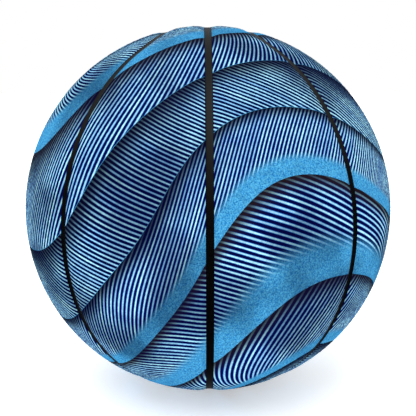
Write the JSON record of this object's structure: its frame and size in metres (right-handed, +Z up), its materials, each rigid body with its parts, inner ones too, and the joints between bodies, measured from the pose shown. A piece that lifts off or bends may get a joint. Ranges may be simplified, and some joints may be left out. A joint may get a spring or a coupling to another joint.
{
  "type": "basketball",
  "caption": "Panelled ball with recessed black seam strips over a wound carcass and an air bladder, with a pull-out needle valve.",
  "frame": {"origin": "centre of the ball", "axes": "+Z up along the line where the centre and girth seams cross, front at -Y, a side loop round each end of X"},
  "size_m": [0.24, 0.24, 0.24],
  "materials": {
    "cover_print": "printed, satin",
    "seam_rubber": "moulded, satin",
    "carcass_rubber": "cured, matt",
    "nylon_thread": "wound thread",
    "butyl": "moulded, satin",
    "valve_rubber": "moulded, satin"
  },
  "bodies": {
    "ball": {"panel_front_left": "cover_print", "panel_front_right": "cover_print", "panel_back_left": "cover_print", "panel_back_right": "cover_print", "side_panel_left_front": "cover_print", "side_panel_left_back": "cover_print", "side_panel_right_front": "cover_print", "side_panel_right_back": "cover_print", "strip_centre_ring": "seam_rubber", "strip_side_left": "seam_rubber", "strip_side_right": "seam_rubber", "strip_loop_left_front": "seam_rubber", "strip_loop_left_back": "seam_rubber", "strip_loop_left_top": "seam_rubber", "strip_loop_left_bottom": "seam_rubber", "strip_loop_right_front": "seam_rubber", "strip_loop_right_back": "seam_rubber", "strip_loop_right_top": "seam_rubber", "strip_loop_right_bottom": "seam_rubber", "strip_bridge_top_left": "seam_rubber", "strip_bridge_top_right": "seam_rubber", "strip_bridge_bottom_left": "seam_rubber", "strip_bridge_bottom_right": "seam_rubber", "carcass": "carcass_rubber", "thread_winding": "nylon_thread", "bladder": "butyl", "valve_seat": "valve_rubber"},
    "valve_core": {"valve_core": "valve_rubber"}
  },
  "joints": [
    {"name": "valve_core_pull", "type": "slide", "parent": "ball", "child": "valve_core", "axis": [0.3746, 0.9272, 0], "range_m": [0, 0.022]}
  ]
}
